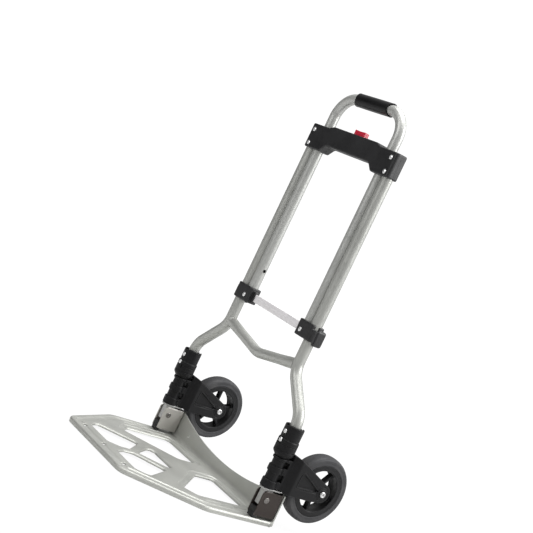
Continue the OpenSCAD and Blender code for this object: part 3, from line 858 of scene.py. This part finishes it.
# the right-hand bracket gets a much darker copy of the bracket metal: painted shade
right = at_post(solid(ear, (-EAR, -9, 14), (EAR, 38, 60), 0.8, 0.45))
piece("right_bracket_pressed", right, "nose", M["ear_painted_shade"], ["right_bracket"])
piece("left_bracket_pressed", mirrored(*right), "nose", M["ear"], ["left_bracket"])


def pin():
    """A hinge pin along Z with two staked heads."""
    out = [(0, -12.3), (2.0, -12.3), (2.6, -12.0), (4.4, -11.9), (5.3, -11.4), (5.5, -10.9), (5.4, -10.5),
           (4, -10.5), (4, 10.5), (5.4, 10.5), (5.5, 10.9), (5.3, 11.4), (4.4, 11.9), (2.6, 12.0),
           (2.0, 11.3), (0, 11.3)]
    v, f = lathe(out, 40, closed=False)
    star = 1 + 0.10 * np.cos(5 * np.arctan2(v[:, 1], v[:, 0]))
    head = (np.abs(v[:, 2]) > 11.2) & (np.hypot(v[:, 0], v[:, 1]) > 1.5) & (np.hypot(v[:, 0], v[:, 1]) < 5)
    v[:, :2] *= np.where(head, star, 1)[:, None]
    return turned(v, "+x"), f


v, f = pin()
piece("hinge_pins_staked", joined([(v + (s * POST_X, *HINGE), f) for s in SIDES]), "nose",
      M["pin"], ["hinge_pins"])


def stop(p):
    """A rubber block with a groove across its front."""
    d = rbox(p, (-8.1, -9, 9), (8.1, -0.5, 28), 1.2)
    groove = rbox(p, (-20, -12, 17.5), (20, -8.2, 19.5), 0.5)
    return smax(d, -groove, 0.6)


v, f, n = solid(stop, (-8.1, -9, 9), (8.1, -0.5, 28), 0.9, 0.5)
piece("stop_blocks_moulded", joined([(v + (s * POST_X, 0, 0), f) for s in SIDES]), "nose",
      M["rubber"], ["stop_blocks"], 60)

FORK_W = 24.0
POST_R = 11.66
AXLE_R = 4.0
fork_side = rounded([(19.8, 66.2), (AXLE_Y - 20, 66.2), (AXLE_Y, 68), (AXLE_Y + 2, AXLE_Z),
                     (109.3, AXLE_Z + 15.8), (32, 132), (26, 134), (19.8, 134)],
                    [0.6, 20, 1, 1, 2, 4, 3, 0.6], 20)
recess = rounded([(42, 85.5), (87, 86), (88.5, 89.6), (44, 112)], [2, 1, 1, 3], 20)
fork_plan = rounded([(-10, 4), (10, 4), (11, 20), (FORK_W, 32), (FORK_W, 140), (-FORK_W, 140), (-FORK_W, 32),
                     (-11, 20)], [0.5, 0.5, 6, 4, 1, 1, 4, 6], 20)


def fork(p):
    """Three bands about the post, a stem behind them and two arms with a recessed face."""
    x, y, z = p.T
    m = np.stack([np.abs(x), y, z], 1)
    plan = outline(x, y, fork_plan)
    side = smin(outline(y, z, fork_side), np.hypot(y - AXLE_Y, z - AXLE_Z) - 17, 2.0)
    arms = smax(plan, side, 1.6)
    arms = smax(arms, -rbox(m, (-20, 36, 40), (17, 150, 160), 1.5), 1.2)
    face = outline(y, z, recess)
    arms = smax(arms, -smax(face, FORK_W - 3.4 - m[:, 0], 0.5), 0.7)
    bead = np.abs(face - 3.0) - 0.5
    arms = smax(arms, -smax(bead, FORK_W - 0.6 - m[:, 0], 0.3), 0.4)
    pit = np.hypot(y - (AXLE_Y - 12.5), z - (AXLE_Z + 3.6)) - 1.7
    arms = smax(arms, -smax(pit, FORK_W - 3.2 - m[:, 0], 0.4), 0.5)
    boss = rod(m, 0, (AXLE_Y, AXLE_Z), 8.5, FORK_W - 5, FORK_W + 0.8, 0.7)
    ring = np.abs(np.hypot(y - AXLE_Y, z - AXLE_Z) - 12.6) - 0.7
    arms = smax(arms, -smax(ring, FORK_W - 0.6 - m[:, 0], 0.3), 0.4)
    arms = smin(arms, boss, 0.8)
    bands = [rod(p, 2, (0, 0), 14.0, a, b, 1.3) for a, b in ((65.5, 80), (94, 106), (118, 122.8))]
    neck = np.minimum.reduce(bands)
    stem = slab(smax(plan, y - 22, 0.5), z, 68, 122.8, 0.8)
    stem = smax(stem, 5 - y, 0.5)
    for a, b in ((80, 94), (106, 118)):
        stem = smax(stem, -rbox(p, (-30, -5, a + 0.5), (30, 16.2, b - 0.5), 0.6), 0.6)
    d = smin(smin(neck, stem, 1.2), arms, 1.5)
    d = smax(d, -rod(p, 2, (0, 0), POST_R, 20, 200, 0.3), 0.5)
    return smax(d, -rod(p, 0, (AXLE_Y, AXLE_Z), AXLE_R, -60, 60, 0.3), 0.4)


paired("{}_fork_moulded", at_post(solid(fork, (-25, -14.2, 65), (25, 120.2, 134.2), 0.95, 0.45)), "{}_fork",
       M["fork"], "{}_fork")


def axle():
    """The axle along Z, with a rolled hollow head."""
    out = [(0, -27.6), (3.6, -27.6), (4, -27.2), (4, FORK_W + 0.9), (5.5, FORK_W + 0.9), (5.7, FORK_W + 1.2),
           (5.65, FORK_W + 2.2), (5.1, FORK_W + 3.3), (4.2, FORK_W + 3.9), (3.4, FORK_W + 3.9),
           (2.5, FORK_W + 3.2), (2.1, FORK_W + 2.3), (2.0, FORK_W + 1.2), (0, FORK_W + 1.2)]
    v, f = lathe(out, 40, closed=False)
    return turned(v, "+x"), f


def nut(p):
    """A chamfered hexagon nut about the X axis."""
    x, y, z = p.T
    hexa = np.full(len(p), -9.0)
    for k in range(3):
        a = math.radians(60 * k)
        hexa = np.maximum(hexa, np.abs(y * math.cos(a) + z * math.sin(a)) - 5.2)
    d = slab(hexa, x, -FORK_W - 4, -FORK_W - 0.85, 0.5)
    d = smax(d, np.hypot(y, z) - 5.85, 0.6)
    d = smax(d, (np.hypot(y, z) - 5.4) * 0.7 + (-FORK_W - 3.5 - x) * 0.7, 0.4)
    return smax(d, AXLE_R - np.hypot(y, z), 0.3)


nut_v, nut_f, nut_n = solid(nut, (-FORK_W - 4, -6, -6), (-FORK_W - 0.8, 6, 6), 0.45, 0.5)
axle_v, axle_f = axle()


def spokes(p):
    """The hub: a channelled rim, five ribbed spokes and a boss, about the X axis."""
    x, y, z = p.T
    rho = np.hypot(y, z)
    rim = outline(rho, x, rounded([(39.5, -13), (48.9, -13), (48.9, 13), (39.5, 13), (41.5, 0)],
                                  [1.5, 0.8, 0.8, 1.5, 12], 30))
    boss = rod(p, 0, (0, 0), 11.0, -16, 16, 1.2)
    ledge = np.abs(np.abs(x) - 12.0) - 1.0
    lip = smax(ledge, np.abs(rho - 40.5) - 1.6, 0.6)
    d = smin(smin(rim, lip, 0.8), boss, 0.5)
    for k in range(5):
        a = math.radians(270 + 72 * k)
        u, w = y * math.cos(a) + z * math.sin(a), -y * math.sin(a) + z * math.cos(a)
        web = np.stack([np.abs(x), np.abs(w), u], 1)
        arm = rbox(web, (-10, -4, 6), (5.5, 1.5, 41.5), 0.6)
        edge = rbox(web, (3.4, -4, 6), (5.5, 2.5, 41.5), 0.7)
        d = smin(d, smin(arm, edge, 0.8), 2.6)
    sink = smax(rho - 7.2, 14.6 - np.abs(x), 0.6)
    d = smax(d, -sink, 0.6)
    return smax(d, -(rho - 4.06), 0.4)


hub_v, hub_f, hub_n = solid(spokes, (-16, -49, -49), (16, 49, 49), 1.0, 0.45)


def tyre():
    """A crowned tread with moulded shoulder lines, about the X axis."""
    radius = 63.5
    half = [(49.0, 0), (49.0, 12.6), (49.6, 13.4), (51.0, 13.8), (52.4, 13.4), (53.4, 13.3), (55.5, 13.75),
            (57.3, 13.95), (58.2, 13.75), (58.7, 13.9), (60.2, 12.9), (61.5, 11.6), (62.4, 9.8), (62.9, 7.8),
            (63.2, 5.9), (63.38, 3.9), (63.47, 2.0)]
    out = [(a, -b) for a, b in half] + [(radius, 0)] + [(a, b) for a, b in reversed(half[1:])]
    v, f = lathe(out, 144)
    return turned(v, "+x"), f


tyre_v, tyre_f = tyre()
for s, label in zip(SIDES, ("left", "right")):
    centre = np.array((s * POST_X, AXLE_Y, AXLE_Z))
    upright = np.array((1, 1, 1)) if s > 0 else np.array((1, -1, -1))
    piece(label + "_axle_headed", (axle_v + centre, axle_f), label + "_fork", M["bright"],
          [label + "_axle"])
    piece(label + "_nut_hex", (nut_v + centre, nut_f, nut_n), label + "_fork", M["bright"],
          [label + "_axle_nut"])
    piece(label + "_hub_spoked", (hub_v * upright + centre, hub_f, hub_n * upright), label + "_wheel",
          M["hub"], [label + "_hub"])
    piece(label + "_tyre_moulded", (tyre_v + centre, tyre_f), label + "_wheel", M["tyre"],
          [label + "_tyre"], 50)


# ------ nose plate

PLATE_W = float(box_mm("nose_plate")[1][0])
FRONT = float(box_mm("nose_plate")[0][1])
DECK, THICK = 9.0, 2.6
rim = rounded([(-PLATE_W, 41), (-PLATE_W, -106), (-108, FRONT), (108, FRONT), (PLATE_W, -106), (PLATE_W, 41)],
              [6, 40, 25, 25, 40, 6], 6)
rear_hole = rounded([(34, 6), (34, -34), (118, -112), (140, -95), (140, 6)], [8, 8, 8, 12, 10], 15)
mid_hole = rounded([(-50, -90), (0, -147), (50, -90)], [10, 8, 10], 15)
front_hole = rounded([(9, -160), (9, -180), (20, -200), (92, -200), (108, -180), (56, -115)],
                     [6, 8, 6, 8, 12, 8], 15)


class Field:
    """Values on a fine grid in the XY plane, read between grid points."""

    def __init__(self, low, high, step):
        self.low, self.step = np.array(low, float), step
        self.n = ((np.array(high) - low) / step).astype(int) + 1
        x = low[0] + step * np.arange(self.n[0])
        y = low[1] + step * np.arange(self.n[1])
        self.x, self.y = np.meshgrid(x, y, indexing="ij")

    def read(self, values, x, y):
        u = np.clip((x - self.low[0]) / self.step, 0, self.n[0] - 1.001)
        w = np.clip((y - self.low[1]) / self.step, 0, self.n[1] - 1.001)
        i, j = u.astype(int), w.astype(int)
        a, b = u - i, w - j
        return ((values[i, j] * (1 - a) + values[i + 1, j] * a) * (1 - b)
                + (values[i, j + 1] * (1 - a) + values[i + 1, j + 1] * a) * b)


field = Field((-2, FRONT - 6), (PLATE_W + 6, 47), 0.7)
edge = outline(field.x, field.y, rim)
rear = outline(field.x, field.y, rear_hole)
front = outline(field.x, field.y, front_hole)
mid = outline(field.x, field.y, mid_hole)
holes = np.minimum(np.minimum(rear, front), mid)
STRAP_X, STRAP_Y, STRAP_R = 80, -219, 4
strap = np.minimum(np.hypot(field.x - STRAP_X, field.y - STRAP_Y), np.hypot(field.x, field.y - STRAP_Y))
strap -= STRAP_R
back_fade = ease((20 - field.y) / 30)


def rolled(gap, reach, fullness):
    """How far the sheet drops as it rolls over toward an edge."""
    near = np.clip(reach - gap, 0, reach)
    return reach - np.sqrt(np.maximum(reach ** 2 - near ** 2 * fullness, 0))


# a channel runs inside the rim; the rear holes sit in a shallow pan, and a long pill is pressed beside them
height = np.full(edge.shape, DECK)
height -= 1.9 * ease((-edge - 8) / 4) * ease((24.5 + edge) / 5) * back_fade
height -= 1.5 * ease((13.5 - rear) / 2.8)
pill = np.hypot(field.x - 164, np.maximum(np.abs(field.y + 40) - 44, 0)) - 5.5
height -= 1.7 * ease(-pill / 2.6 + 0.4)
for gap, reach, fullness in ((holes, 4.2, 0.93), (strap, 1.6, 0.9), (-edge, 3.4, 0.97)):
    height -= rolled(gap, reach, fullness)
# the flange's upper edge is an arc of this radius
TOP_R = 581.0
FLANGE_END, FLANGE_MIDDLE = 60, 32.5


def plate(p):
    """The deck with its skirt and holes, and the upright flange behind it."""
    x, y, z = p.T
    ax = np.abs(x)
    out = field.read(edge, ax, y)
    gap = field.read(holes, ax, y)
    tie = field.read(strap, ax, y)
    top = field.read(height, ax, y)
    deck = smax(z - top, top - THICK - z, 1.0)
    skirt = smax(smax(out, -out - THICK, 0.8), z - top, 0.8)
    skirt = smax(skirt, -z, 0.8)
    d = smin(smax(deck, out, 0.8), smax(skirt, y - 36, 0.5), 1.2)
    d = smax(d, -gap, 0.9)
    d = smax(d, -tie, 0.6)
    arc = TOP_R - np.hypot(x, z - FLANGE_MIDDLE - TOP_R)
    wall = smax(np.abs(y - 39.5) - 1.5, -z, 0.8)
    wall = smax(smax(wall, arc, 0.9), ax - PLATE_W, 0.9)
    wall = smax(wall, z - FLANGE_END, 0.9)
    corner = np.where((ax > PLATE_W - 6) & (z < 6), np.hypot(ax - PLATE_W + 6, z - 6) - 6, -9.0)
    wall = np.maximum(wall, corner)
    dots = np.hypot(ax - 129, z - 26) - 1.6
    wall = smax(wall, -dots, 0.5)
    return smin(d, wall, 6.0)


plate_low, plate_high = box_mm("nose_plate")
v, f, n = solid(plate, (-PLATE_W, FRONT, 0), (PLATE_W, 41, FLANGE_END), 1.1, 0.38)
piece("nose_plate_pressed", (np.clip(v, plate_low, plate_high), f, n), "nose", M["plate"],
      ["nose_plate"])


# ------ stage, light and camera

def floor_mesh():
    """A large flat sheet, a hair below the object's lowest point."""
    n, reach, below = 24, 9.0, 0.0006
    verts, faces = [], []
    for i in range(n + 1):
        for j in range(n + 1):
            x, y = (i / n - 0.5) * 2 * reach, (j / n - 0.5) * 2 * reach
            verts.append((x, y, -below))
    for i in range(n):
        for j in range(n):
            a = i * (n + 1) + j
            faces.append((a, a + n + 1, a + n + 2, a + 1))
    mesh = bpy.data.meshes.new("studio_floor")
    mesh.from_pydata(verts, [], faces)
    return mesh


floor = placed("studio_floor", floor_mesh())
paper = material("floor_paper", (0.58, 0.58, 0.58), 0.9, grain=60, grain_depth=0.05, blotch=0.004, spec=0.1)
fn, fl = paper.node_tree.nodes, paper.node_tree.links
WHITE = (1, 1, 1, 1)
# the camera sees mostly a white glow, and some of the paper's own shadow close to the object
glow = shader(fn, "Emission", Color=WHITE, Strength=1.08)
ray = shader(fn, "LightPath")
share = shader(fn, "Math")
share.operation = "MULTIPLY"
spot = shader(fn, "TexCoord")
far = shader(fn, "VectorMath")
far.operation = "LENGTH"
fade = shader(fn, "MapRange", From_Min=0.25, From_Max=1.3, To_Min=0.86, To_Max=1.0)
fl.new(spot.outputs["Object"], far.inputs[0])
fl.new(far.outputs["Value"], fade.inputs["Value"])
fl.new(fade.outputs["Result"], share.inputs[1])
blend = shader(fn, "MixShader")
fl.new(ray.outputs["Is Camera Ray"], share.inputs[0])
fl.new(share.outputs[0], blend.inputs[0])
fl.new(fn["Principled BSDF"].outputs[0], blend.inputs[1])
fl.new(glow.outputs[0], blend.inputs[2])
fl.new(blend.outputs[0], fn["Material Output"].inputs["Surface"])
floor.data.materials.append(paper)

# a studio that is bright to the right and behind, and dim in front and to the left
world = bpy.data.worlds.new("studio")
bpy.context.scene.world = world
world.use_nodes = True
wn, wl = world.node_tree.nodes, world.node_tree.links
ground = wn["Background"]
way = shader(wn, "TexCoord")
toward = shader(wn, "VectorMath")
toward.operation = "DOT_PRODUCT"
toward.inputs[1].default_value = (0.42, 0.60, 0.68)
level = shader(wn, "MapRange", From_Min=-0.5, From_Max=0.95, To_Min=0.10, To_Max=0.75)
level.interpolation_type = "SMOOTHSTEP"
wl.new(way.outputs["Generated"], toward.inputs[0])
wl.new(toward.outputs["Value"], level.inputs["Value"])
ground.inputs["Color"].default_value = WHITE
wl.new(level.outputs["Result"], ground.inputs["Strength"])
seen = shader(wn, "Background", Color=WHITE, Strength=1.05)
path = shader(wn, "LightPath")
choose = shader(wn, "MixShader")
wl.new(path.outputs["Is Camera Ray"], choose.inputs[0])
wl.new(ground.outputs[0], choose.inputs[1])
wl.new(seen.outputs[0], choose.inputs[2])
wl.new(choose.outputs[0], wn["World Output"].inputs["Surface"])


def lamp(name, where, size, power):
    """A square white lamp, aimed at the middle of the object."""
    data = bpy.data.lights.new(name, "AREA")
    data.shape, data.size, data.size_y = "RECTANGLE", size, size
    data.energy = power
    obj = placed(name, data)
    obj.location = where
    obj.rotation_euler = (Vector(MIDDLE) - Vector(where)).to_track_quat("-Z", "Y").to_euler()


MIDDLE = (0, 0, 0.36)
lamp("key_right", (1.75, 1.85, 1.7), 2.0, 66)
lamp("top_soft", (0.0, 0.1, 2.6), 2.0, 56)
lamp("fill_front", (-0.2, -2.4, 1.7), 1.6, 22)

# the camera is in front and to the right, and rolled, so that the truck leans in its view
SENSOR, LENS = 36, 79.46
TILT, ROLL, HEADING = [math.radians(angle) for angle in (86.537, -25.438, 54.493)]
camera = placed("camera", bpy.data.cameras.new("camera"))
camera.data.sensor_width, camera.data.lens = SENSOR, LENS
turn = Euler((TILT, ROLL, HEADING)).to_matrix().to_4x4()
camera.matrix_world = Matrix.Translation((1.6777, -1.3298 + BACK, 0.5150)) @ turn
camera.data.clip_start, camera.data.clip_end = 0.05, 60
bpy.context.scene.camera = camera
bpy.context.scene.view_settings.view_transform = "Standard"
